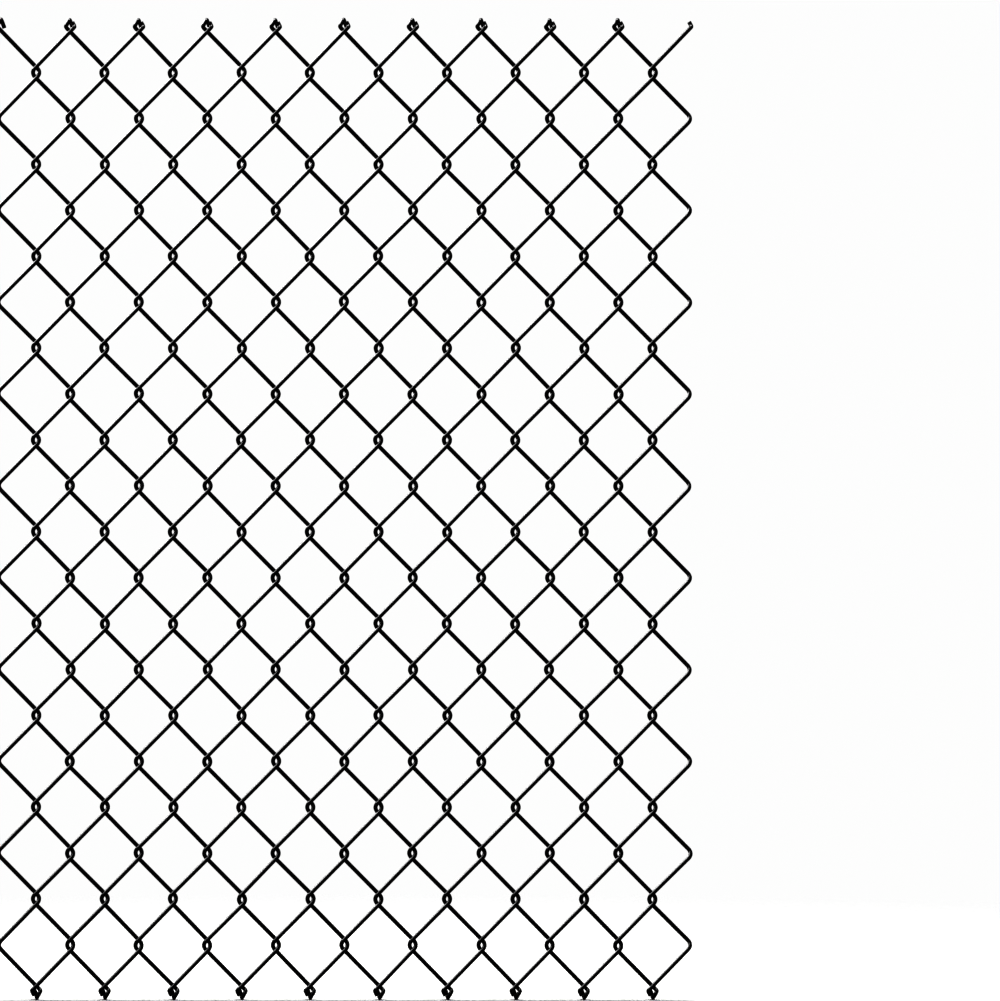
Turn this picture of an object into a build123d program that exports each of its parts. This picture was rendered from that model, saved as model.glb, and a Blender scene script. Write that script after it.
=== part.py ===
# A flat panel of chain-link mesh: zigzag picket wires woven side by side, knuckled at top and bottom.
# Millimetres. +X runs along the fence, +Z is up, and the front of the panel faces -Y.
# The origin is on the left edge of the weave, halfway through its thickness,
# level with the lowest point of the bottom knuckles.
from build123d import *
from math import atan, degrees, pi, radians, tan
import os

# The weave
panel_height = 914.4        # from the bottom knuckles to the top ones
wire_diameter = 3.76        # finished wire: steel core with its black vinyl coat
diamond_width = 63.8        # between neighbouring columns of interlocks that stand on the same level
lock_rise = 10.4            # height between the two crossings of one interlock
lock_eye = 1.9              # gap between the two bends of one interlock
weave_gap = 0.06            # clearance between two wires where they cross
picket_count = 20
lock_levels = 22            # levels of interlocks, the top and bottom knuckles included

# The knuckles: the last interlock of two wires. The front wire's end is turned back under the mesh and
# bent up behind it, and the rear wire's end is cut off just short of that turn
knuckle_rise = 9.0          # height of its two bends, as lock_rise is for an interlock
knuckle_eye = 4.0           # gap between its two bends
turned_end_drop = 6.3       # from the middle of the knuckle out to the turn
turned_end_side = 0.5       # from the column line across to the turn
turned_end_lean = 2.8       # how far across the turned end leans on its way back in
turned_end_rise = 1.2       # how far beyond the middle of the knuckle it reaches
rear_end_shift = 0.5        # how far the rear wire's end stands off to the side of the turn

# An arc takes this share of what the runs beside it allow, so that a short straight stays between two arcs
arc_share = 0.95

# What follows from them
knuckle_reach = turned_end_drop + wire_diameter / 2
level_rise = (panel_height - 2 * knuckle_reach) / (lock_levels - 1)
slope = (level_rise - lock_rise) / (diamond_width / 2)
layer = (wire_diameter + weave_gap) / 2
lock_bulge = (wire_diameter + lock_eye) / 2
knuckle_bulge = (wire_diameter + knuckle_eye) / 2
rear_end_drop = turned_end_drop - wire_diameter / 2 - weave_gap
rear_end_side = wire_diameter / 2 + rear_end_shift - turned_end_side
bottom_level = knuckle_reach
top_level = bottom_level + (lock_levels - 1) * level_rise


def bend(x, z, side, bulge, rise):
    """Corners of a bend that bulges to one side of its column (-1 left, 1 right), going down.

    A left bend comes in on the front layer and leaves on the back one, and a right bend the other way round.
    """
    corner_rise = rise / 2 - bulge * slope
    return [
        (x + side * bulge, side * layer, z + corner_rise),
        (x + side * bulge, -side * layer, z - corner_rise),
    ]


def knuckle_end(x, z, side, up):
    """Last points of a wire beyond the bend on this side of its column, nearest first (up: 1 top, -1 bottom)."""
    if side == -up:
        across, height = x + side * turned_end_side, z + up * turned_end_drop
        tip = (across - side * turned_end_lean, 3 * layer, z - up * turned_end_rise)
        return [(across, -layer, height), (across, 3 * layer, height), tip]
    return [(x + side * rear_end_side, layer, z + up * rear_end_drop)]


def picket_route(number):
    """Corners of one picket wire, from its top end down to its bottom end."""
    column = {-1: number * diamond_width / 2, 1: (number + 1) * diamond_width / 2}
    first_side = -1 if number % 2 == 0 else 1
    sides = [first_side * (-1) ** level for level in range(lock_levels)]
    last_side = sides[-1]

    points = knuckle_end(column[first_side], top_level, first_side, 1)[::-1]
    for level, side in enumerate(sides):
        knuckled = level in (0, lock_levels - 1)
        bulge, rise = (knuckle_bulge, knuckle_rise) if knuckled else (lock_bulge, lock_rise)
        points += bend(column[side], top_level - level * level_rise, side, bulge, rise)
    return points + knuckle_end(column[last_side], bottom_level, last_side, -1)


def arc_radii(points):
    """Radius of the arc at each corner, the largest that the shorter run beside it leaves room for."""
    runs = [Vector(end) - Vector(start) for start, end in zip(points, points[1:])]
    room = [run.length / 2 for run in runs]
    room[0] = runs[0].length
    room[-1] = runs[-1].length
    return [
        arc_share * min(room[i], room[i + 1]) / tan(radians(runs[i].get_angle(runs[i + 1])) / 2)
        for i in range(len(runs) - 1)
    ]


os.makedirs("parts", exist_ok=True)

for number in range(picket_count):
    points = picket_route(number)
    with BuildPart() as picket:
        with BuildLine() as route:
            FilletPolyline(*points, radius=arc_radii(points))
        with BuildSketch(Plane(origin=route.line @ 0, z_dir=route.line % 0)):
            Circle(wire_diameter / 2)
        sweep()
    name = f"picket_wire_{number + 1:02d}"
    picket.part.label = name
    export_step(picket.part, f"parts/{name}.step")

wire_length = sum(edge.length for edge in route.edges())
wire_section = pi * wire_diameter ** 2 / 4
radii = {round(radius, 2) for number in (0, 1) for radius in arc_radii(picket_route(number))}
print(f"arc radii {sorted(radii)}")
print(f"level rise {level_rise:.3f}, slope of the legs {degrees(atan(slope)):.2f} degrees")
print(f"panel height {top_level + knuckle_reach:.1f}, knuckle reach {knuckle_reach:.2f}")
print(f"length of one wire {wire_length:.1f}")
print(f"volume of one wire {picket.part.volume:.0f}, section times length {wire_section * wire_length:.0f}")
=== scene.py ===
# The looks of a flat chain-link mesh panel: black vinyl-coated picket wires, woven and knuckled.
# Metres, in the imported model's frame: +X along the fence, +Z up, the front of the panel towards -Y.
import bmesh
import bpy
from math import radians, tan
from mathutils import Matrix, Vector
from mathutils.kdtree import KDTree
from random import Random


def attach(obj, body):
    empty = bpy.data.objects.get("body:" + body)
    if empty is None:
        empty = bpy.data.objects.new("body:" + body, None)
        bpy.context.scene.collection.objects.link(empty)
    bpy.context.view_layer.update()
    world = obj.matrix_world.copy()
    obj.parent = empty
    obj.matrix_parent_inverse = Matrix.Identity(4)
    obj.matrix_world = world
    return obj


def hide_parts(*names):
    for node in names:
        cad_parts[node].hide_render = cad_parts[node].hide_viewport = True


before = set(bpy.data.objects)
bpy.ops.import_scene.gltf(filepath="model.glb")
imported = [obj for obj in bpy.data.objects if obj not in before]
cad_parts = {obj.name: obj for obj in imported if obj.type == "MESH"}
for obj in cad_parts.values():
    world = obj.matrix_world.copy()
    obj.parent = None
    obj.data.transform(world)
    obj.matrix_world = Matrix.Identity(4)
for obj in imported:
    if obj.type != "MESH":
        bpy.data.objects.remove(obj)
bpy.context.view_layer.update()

MM = 0.001

# The weave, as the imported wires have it
PANEL_HEIGHT = 914.4 * MM
WIRE = 3.76 * MM
DIAMOND_WIDTH = 63.8 * MM
LOCK_RISE = 10.4 * MM
LOCK_EYE = 1.9 * MM
WEAVE_GAP = 0.06 * MM
ARC_SHARE = 0.95
PICKETS = len(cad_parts)
LEVELS = 22

# Its knuckles: the front wire's turned end and the rear wire's cut end
KNUCKLE_RISE = 9.0 * MM
KNUCKLE_EYE = 4.0 * MM
TURNED_END_DROP = 6.3 * MM
TURNED_END_SIDE = 0.5 * MM
TURNED_END_LEAN = 2.8 * MM
TURNED_END_RISE = 1.2 * MM
REAR_END_SHIFT = 0.5 * MM

# What follows from them
BOTTOM_LEVEL = TURNED_END_DROP + WIRE / 2
LEVEL_RISE = (PANEL_HEIGHT - 2 * BOTTOM_LEVEL) / (LEVELS - 1)
SLOPE = (LEVEL_RISE - LOCK_RISE) / (DIAMOND_WIDTH / 2)
LAYER = (WIRE + WEAVE_GAP) / 2
LOCK_BULGE = (WIRE + LOCK_EYE) / 2
KNUCKLE_BULGE = (WIRE + KNUCKLE_EYE) / 2
REAR_END_DROP = TURNED_END_DROP - WIRE / 2 - WEAVE_GAP
REAR_END_SIDE = WIRE / 2 + REAR_END_SHIFT - TURNED_END_SIDE
TOP_LEVEL = BOTTOM_LEVEL + (LEVELS - 1) * LEVEL_RISE
PANEL_MIDDLE = Vector((PICKETS * DIAMOND_WIDTH / 4, 0, (TOP_LEVEL + BOTTOM_LEVEL) / 2))

# How far an interlock wanders from the even grid, and how far a scuff spreads from where two wires rub
WANDER = 0.22 * MM
WANDER_SEED = 36
RUB_REACH = 3.4 * MM

# How finely a wire is made: the sides round it, the turn between two rings of a bend, and how far apart the
# rings of a straight run are, with two closer steps at each end of it
WIRE_SIDES = 16
ARC_STEP = radians(10)
FEWEST_ARC_STEPS = 3
RUN_STEP = 7 * MM
NEAR_STEP = 1.6 * MM
NEAR_STEPS = 2

# A sheared end: its steel core, how far that stands proud and is chamfered, and how the coat's rim rounds off
CORE = 2.9 * MM
CORE_PROUD = 0.1 * MM
CORE_CHAMFER = 0.04 * MM
RIM_ROUND = 0.12 * MM
RIM_SHARE = 0.4

# Patterns of the finishes. The coat's real grain is finer, and is drawn coarse enough to show close up
COAT_GRAIN = 0.7 * MM
COAT_LINES = 0.35 * MM
COAT_CLOUDS = 14 * MM
COAT_RELIEF = 0.03 * MM
SHEAR_LINES = 0.12 * MM
SHEAR_RELIEF = 0.04 * MM

# Roughness of the coat where it is smoothest, where it is dullest, and in a scuff
SMOOTH_COAT, DULL_COAT, SCUFFED_COAT = 0.27, 0.38, 0.58

# The photograph's frame, and where the weave lies in it, in pixels
PHOTO_WIDTH, PHOTO_HEIGHT = 1000, 1001
PHOTO_DIAMOND = 68.5
PHOTO_LEFT_COLUMN = 1.8
PHOTO_BOTTOM_LOCKS = 991.0
LENS, SENSOR = 250, 36

# The floor, and the shares of its radius between which it fades into the surroundings
FLOOR_RADIUS = 1.8
FLOOR_SIDES = 96
FADE_FROM, FADE_TO = 0.4, 0.98

# How bright the surroundings are in what the wires mirror, against 1 for the camera
MIRRORED_SURROUNDINGS = 0.04

# A low gamma darkens the half-covered pixels at a wire's edge, so that a thin black wire keeps its full width
# against white, as in the photograph's hard print
VIEW_GAMMA = 0.55


def linear(hex_colour):
    """Linear colour of an sRGB hex value."""
    channels = [int(hex_colour[i:i + 2], 16) / 255 for i in (1, 3, 5)]
    return [c / 12.92 if c <= 0.04045 else ((c + 0.055) / 1.055) ** 2.4 for c in channels] + [1.0]


def node(tree, kind, settings=None, **inputs):
    """Adds a node with its settings, and gives its inputs values or other nodes' outputs.

    An input is named by its label, with _ for a space, or by _ and its number. In a Mix node 0 is the share,
    2 and 3 are its two numbers, and 6 and 7 its two colours.
    """
    made = tree.nodes.new(kind)
    for name, value in (settings or {}).items():
        setattr(made, name, value)
    for name, value in inputs.items():
        socket = made.inputs[int(name[1:]) if name[0] == "_" else name.replace("_", " ")]
        if isinstance(value, bpy.types.NodeSocket):
            tree.links.new(value, socket)
        else:
            socket.default_value = value
    return made


# Weaving

def interlock_places():
    """Centre of each interlock, by column and level, each a little off the even grid."""
    chance = Random(WANDER_SEED)
    places = {}
    for column in range(PICKETS + 1):
        for level in range(LEVELS):
            across, up = chance.gauss(0, WANDER), chance.gauss(0, WANDER)
            if level == LEVELS - 1:
                up = 0  # the bottom row stands on the floor
            places[column, level] = (column * DIAMOND_WIDTH / 2 + across, TOP_LEVEL - level * LEVEL_RISE + up)
    return places


def bend(place, side, bulge, rise):
    """Corners of a bend that bulges to one side of its column: in on one layer, out on the other."""
    x, z = place
    corner_rise = rise / 2 - bulge * SLOPE
    return [
        Vector((x + side * bulge, side * LAYER, z + corner_rise)),
        Vector((x + side * bulge, -side * LAYER, z - corner_rise)),
    ]


def knuckle_end(place, side, up):
    """Last points of a wire beyond the bend on this side of its column, nearest first.

    up is 1 at the top and -1 at the bottom. The front wire's end is turned back under the mesh and bent up
    behind it, and the rear wire's end is cut off just short of that turn.
    """
    x, z = place
    if side == -up:
        across, height = x + side * TURNED_END_SIDE, z + up * TURNED_END_DROP
        tip = Vector((across - side * TURNED_END_LEAN, 3 * LAYER, z - up * TURNED_END_RISE))
        return [Vector((across, -LAYER, height)), Vector((across, 3 * LAYER, height)), tip]
    return [Vector((x + side * REAR_END_SIDE, LAYER, z + up * REAR_END_DROP))]


def picket_route(number, places):
    """Corners of one picket wire, from its top end down to its bottom end."""
    column = {-1: number, 1: number + 1}
    first_side = -1 if number % 2 == 0 else 1
    sides = [first_side * (-1) ** level for level in range(LEVELS)]
    last = LEVELS - 1
    points = knuckle_end(places[column[first_side], 0], first_side, 1)[::-1]
    for level, side in enumerate(sides):
        bulge, rise = (KNUCKLE_BULGE, KNUCKLE_RISE) if level in (0, last) else (LOCK_BULGE, LOCK_RISE)
        points += bend(places[column[side], level], side, bulge, rise)
    return points + knuckle_end(places[column[sides[last]], last], sides[last], -1)


def rubbing_points(places):
    """Where two wires touch: the two crossings of every interlock, with a knuckle taken for one too."""
    points = [Vector((x, 0, z + end * LOCK_RISE / 2)) for x, z in places.values() for end in (-1, 1)]
    tree = KDTree(len(points))
    for index, point in enumerate(points):
        tree.insert(point, index)
    tree.balance()
    return tree


# Bending one wire

def ring_verts(ring):
    """Points of a ring of edges."""
    return list({v for edge in ring for v in edge.verts})


def move_on(bm, ring, length):
    """Marks a new ring as lying further along the straightened wire."""
    straight = bm.verts.layers.float_vector["straight_wire"]
    for v in ring_verts(ring):
        v[straight] += Vector((0, 0, length))
    return ring


def wire_start(bm, start, heading):
    """First ring of a wire, marked with its place on the straightened wire."""
    straight = bm.verts.layers.float_vector.new("straight_wire")
    verts = bmesh.ops.create_circle(bm, segments=WIRE_SIDES, radius=WIRE / 2)["verts"]
    for v in verts:
        v[straight] = v.co
    turned = Matrix.Translation(start) @ heading.to_track_quat("Z", "Y").to_matrix().to_4x4()
    bmesh.ops.transform(bm, matrix=turned, verts=verts)
    return list(bm.edges)


def straight_run(bm, ring, run):
    """Pulls the ring along a straight run, in shorter steps near its two ends, where wires rub."""
    heading, length = run.normalized(), run.length
    middle = length - 2 * NEAR_STEPS * NEAR_STEP
    steps = [length]
    if middle > RUN_STEP:
        count = round(middle / RUN_STEP)
        near = [NEAR_STEP] * NEAR_STEPS
        steps = near + [middle / count] * count + near
    for step in steps:
        made = bmesh.ops.extrude_edge_only(bm, edges=ring)["geom"]
        ring = [e for e in made if isinstance(e, bmesh.types.BMEdge)]
        bmesh.ops.translate(bm, vec=heading * step, verts=ring_verts(ring))
        move_on(bm, ring, step)
    return ring


def bend_arc(bm, ring, centre, axis, angle, radius):
    """Turns the ring round an arc's centre."""
    steps = max(FEWEST_ARC_STEPS, round(angle / ARC_STEP))
    for _ in range(steps):
        made = bmesh.ops.spin(
            bm, geom=ring + ring_verts(ring), cent=centre, axis=axis, angle=angle / steps, steps=1,
            use_duplicate=False,
        )["geom_last"]
        ring = move_on(bm, [e for e in made if isinstance(e, bmesh.types.BMEdge)], radius * angle / steps)
    return ring


def cut_end(bm, ring, steel_slot):
    """Sheared end of a wire: the coat's rim rounded off, and the steel core standing a little proud."""
    face = bmesh.ops.edgeloop_fill(bm, edges=ring)["faces"]
    bmesh.ops.recalc_face_normals(bm, faces=list(bm.faces))
    coat = (WIRE - CORE) / 2
    insets = (
        (coat * RIM_SHARE, RIM_ROUND),
        (coat * (1 - RIM_SHARE), 0),
        (CORE_CHAMFER, CORE_PROUD),
    )
    for thickness, depth in insets:
        bmesh.ops.inset_region(bm, faces=face, thickness=thickness, depth=depth, use_even_offset=True)
    face[0].material_index = steel_slot
    for edge in face[0].edges:
        for near in edge.link_faces:
            near.material_index = steel_slot


def picket_wire(number, places, rubbed, materials):
    """One picket wire, bent along its route."""
    corners = picket_route(number, places)
    runs = [end - start for start, end in zip(corners, corners[1:])]
    room = [run.length / 2 for run in runs]
    room[0], room[-1] = runs[0].length, runs[-1].length

    bm = bmesh.new()
    ring = first_ring = wire_start(bm, corners[0], runs[0].normalized())
    used = 0
    for i in range(len(runs) - 1):
        before, after = runs[i].normalized(), runs[i + 1].normalized()
        turn = before.angle(after)
        radius = ARC_SHARE * min(room[i], room[i + 1]) / tan(turn / 2)
        reach = radius * tan(turn / 2)
        ring = straight_run(bm, ring, before * (runs[i].length - used - reach))
        axis = before.cross(after).normalized()
        centre = corners[i + 1] - before * reach + axis.cross(before) * radius
        ring = bend_arc(bm, ring, centre, axis, turn, radius)
        used = reach
    ring = straight_run(bm, ring, runs[-1].normalized() * (runs[-1].length - used))
    for face in bm.faces:
        face.smooth = True
    for end in (first_ring, ring):
        cut_end(bm, end, steel_slot=1)

    rub = bm.verts.layers.float.new("rub")
    for v in bm.verts:
        v[rub] = max(0, 1 - rubbed.find(v.co)[2] / RUB_REACH)

    mesh = bpy.data.meshes.new(f"picket_{number + 1:02d}")
    bm.to_mesh(mesh)
    bm.free()
    piece = bpy.data.objects.new(f"bent_picket_{number + 1:02d}", mesh)
    bpy.context.collection.objects.link(piece)
    for material in materials:
        mesh.materials.append(material)
    return piece


# Finishes

def new_material(name):
    """New node material with a Principled shader and nothing else."""
    material = bpy.data.materials.new(name)
    material.use_nodes = True
    tree = material.node_tree
    tree.nodes.clear()
    shader = node(tree, "ShaderNodeBsdfPrincipled")
    node(tree, "ShaderNodeOutputMaterial", Surface=shader.outputs["BSDF"])
    return material, tree, shader


def black_vinyl():
    """PVC coat, extruded hot over the steel wire: near black and satin.

    It shows a faint grain, long die lines that run with the wire, and dull grey scuffs where two wires rub.
    """
    material, tree, shader = new_material("black_extruded_vinyl")
    shader.inputs["IOR"].default_value = 1.53

    # Patterns that follow the wire, with the die lines 50 times as long as wide
    wire = node(tree, "ShaderNodeAttribute", {"attribute_name": "straight_wire"}).outputs["Vector"]
    rub = node(tree, "ShaderNodeAttribute", {"attribute_name": "rub"}).outputs["Fac"]
    drawn = node(tree, "ShaderNodeMapping", Vector=wire, Scale=(1, 1, 0.02)).outputs["Vector"]
    grain = node(tree, "ShaderNodeTexNoise", Vector=wire, Scale=1 / COAT_GRAIN, Detail=2.0).outputs["Fac"]
    lines = node(tree, "ShaderNodeTexNoise", Vector=drawn, Scale=1 / COAT_LINES, Detail=1.0).outputs["Fac"]
    cloud = node(tree, "ShaderNodeTexNoise", Vector=wire, Scale=1 / COAT_CLOUDS, Detail=3.0).outputs["Fac"]

    # Colour: black, a little uneven, and grey in the scuffs, which the grain breaks up
    patchy = node(tree, "ShaderNodeMath", {"operation": "MULTIPLY"}, _0=rub, _1=grain).outputs[0]
    scuff = node(tree, "ShaderNodeMapRange", Value=patchy, From_Min=0.12, From_Max=0.42).outputs[0]
    coat = node(
        tree, "ShaderNodeMix", {"data_type": "RGBA"}, _0=cloud, _6=linear("#09090a"), _7=linear("#121213"),
    ).outputs[2]
    worn = node(
        tree, "ShaderNodeMix", {"data_type": "RGBA"}, _0=scuff, _6=coat, _7=linear("#29292a"),
    ).outputs[2]
    tree.links.new(worn, shader.inputs["Base Color"])

    # Gloss: satin, a little uneven, and dull in the scuffs
    satin = node(
        tree, "ShaderNodeMapRange", Value=cloud,
        From_Min=0.3, From_Max=0.7, To_Min=SMOOTH_COAT, To_Max=DULL_COAT,
    ).outputs[0]
    dull = node(tree, "ShaderNodeMix", {"data_type": "FLOAT"}, _0=scuff, _2=satin, _3=SCUFFED_COAT).outputs[0]
    tree.links.new(dull, shader.inputs["Roughness"])

    relief = node(tree, "ShaderNodeMath", {"operation": "ADD"}, _0=grain, _1=lines).outputs[0]
    bump = node(tree, "ShaderNodeBump", Height=relief, Distance=COAT_RELIEF, Strength=0.6)
    tree.links.new(bump.outputs["Normal"], shader.inputs["Normal"])
    return material


def cut_steel():
    """Low-carbon steel core with its zinc skin, sheared across.

    It shows bright grey, with fine lines dragged by the shear and a dull break between them.
    """
    material, tree, shader = new_material("sheared_galvanised_steel")
    shader.inputs["Metallic"].default_value = 1.0

    place = node(tree, "ShaderNodeTexCoord").outputs["Object"]
    dragged = node(tree, "ShaderNodeMapping", Vector=place, Scale=(1, 0.12, 1)).outputs["Vector"]
    shear = node(tree, "ShaderNodeTexNoise", Vector=dragged, Scale=1 / SHEAR_LINES, Detail=2.0).outputs["Fac"]
    colour = node(
        tree, "ShaderNodeMix", {"data_type": "RGBA"}, _0=shear, _6=linear("#7d7f80"), _7=linear("#b4b7b9"),
    ).outputs[2]
    tree.links.new(colour, shader.inputs["Base Color"])
    rough = node(tree, "ShaderNodeMapRange", Value=shear, To_Min=0.35, To_Max=0.6).outputs[0]
    tree.links.new(rough, shader.inputs["Roughness"])
    bump = node(tree, "ShaderNodeBump", Height=shear, Distance=SHEAR_RELIEF, Strength=0.7)
    tree.links.new(bump.outputs["Normal"], shader.inputs["Normal"])
    return material


# Studio

def pale_floor():
    """Round pale floor whose rim fades into the surroundings. The wires don't mirror it, and stay black."""
    bm = bmesh.new()
    bmesh.ops.create_circle(bm, cap_ends=True, segments=FLOOR_SIDES, radius=FLOOR_RADIUS)
    bmesh.ops.translate(bm, vec=(PANEL_MIDDLE.x, 0, 0), verts=bm.verts)
    mesh = bpy.data.meshes.new("pale_floor")
    bm.to_mesh(mesh)
    bm.free()
    floor = bpy.data.objects.new("pale_floor", mesh)
    bpy.context.collection.objects.link(floor)

    material, tree, shader = new_material("pale_floor_paint")
    shader.inputs["Base Color"].default_value = linear("#f4f4f3")
    shader.inputs["Roughness"].default_value = 0.9
    place = node(tree, "ShaderNodeTexCoord").outputs["Object"]
    centred = node(
        tree, "ShaderNodeVectorMath", {"operation": "SUBTRACT"}, _0=place, _1=(PANEL_MIDDLE.x, 0, 0),
    ).outputs[0]
    away = node(tree, "ShaderNodeVectorMath", {"operation": "LENGTH"}, _0=centred).outputs["Value"]
    fade = node(
        tree, "ShaderNodeMapRange", {"interpolation_type": "SMOOTHSTEP"}, Value=away,
        From_Min=FLOOR_RADIUS * FADE_FROM, From_Max=FLOOR_RADIUS * FADE_TO, To_Min=1.0, To_Max=0.0,
    ).outputs[0]
    tree.links.new(fade, shader.inputs["Alpha"])
    mesh.materials.append(material)
    floor.visible_glossy = False


def softbox(name, place, along, length, width, watts):
    """Rectangular soft light, placed from the panel's middle and facing it, its long side turned one way."""
    back = Vector(place).normalized()
    across = back.cross(Vector(along)).normalized()
    turn = Matrix((across.cross(back), across, back)).transposed().to_4x4()
    light = bpy.data.lights.new(name, "AREA")
    light.shape, light.size, light.size_y, light.energy = "RECTANGLE", length, width, watts
    lamp = bpy.data.objects.new(name, light)
    lamp.matrix_world = Matrix.Translation(PANEL_MIDDLE + Vector(place)) @ turn
    bpy.context.collection.objects.link(lamp)
    return lamp


def surroundings():
    """Pale surroundings for the eye. What the wires mirror of them is kept dim, as in a dark studio."""
    world = bpy.data.worlds.new("surroundings")
    bpy.context.scene.world = world
    world.use_nodes = True
    tree = world.node_tree
    tree.nodes.clear()
    seen = node(tree, "ShaderNodeLightPath").outputs["Is Camera Ray"]
    strength = node(tree, "ShaderNodeMapRange", Value=seen, To_Min=MIRRORED_SURROUNDINGS, To_Max=1.0)
    pale = node(tree, "ShaderNodeBackground", Color=linear("#fefefe"), Strength=strength.outputs[0])
    node(tree, "ShaderNodeOutputWorld", Surface=pale.outputs[0])


def camera():
    """Camera square on to the panel, as far off and as high as the photograph's frame needs."""
    metres_per_pixel = DIAMOND_WIDTH / PHOTO_DIAMOND
    data = bpy.data.cameras.new("camera")
    data.lens, data.sensor_width, data.clip_end = LENS, SENSOR, 100
    eye = bpy.data.objects.new("camera", data)
    eye.location = (
        (PHOTO_WIDTH / 2 - PHOTO_LEFT_COLUMN) * metres_per_pixel,
        -PHOTO_HEIGHT * metres_per_pixel * LENS / SENSOR,
        BOTTOM_LEVEL + (PHOTO_BOTTOM_LOCKS - PHOTO_HEIGHT / 2) * metres_per_pixel,
    )
    eye.rotation_euler = (radians(90), 0, 0)
    bpy.context.collection.objects.link(eye)
    bpy.context.scene.camera = eye


# The panel

places = interlock_places()
rubbed = rubbing_points(places)
materials = [black_vinyl(), cut_steel()]
for number in range(PICKETS):
    wire = picket_wire(number, places, rubbed, materials)
    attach(wire, "root")
    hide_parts(f"picket_wire_{number + 1:02d}")

# Its studio: the overhead lamp lights the floor, and the one on the upper left is only mirrored in the wires

pale_floor()
softbox("overhead", place=(0, 0.8, 4.1), along=(1, 0, 0), length=2.0, width=2.0, watts=290)
mirrored = softbox("upper_left", place=(-2.1, 0.6, 2.1), along=(0, 1, 0), length=5.6, width=1.6, watts=420)
mirrored.visible_diffuse = False
surroundings()
camera()
bpy.context.scene.view_settings.view_transform = "Standard"
bpy.context.scene.view_settings.gamma = VIEW_GAMMA
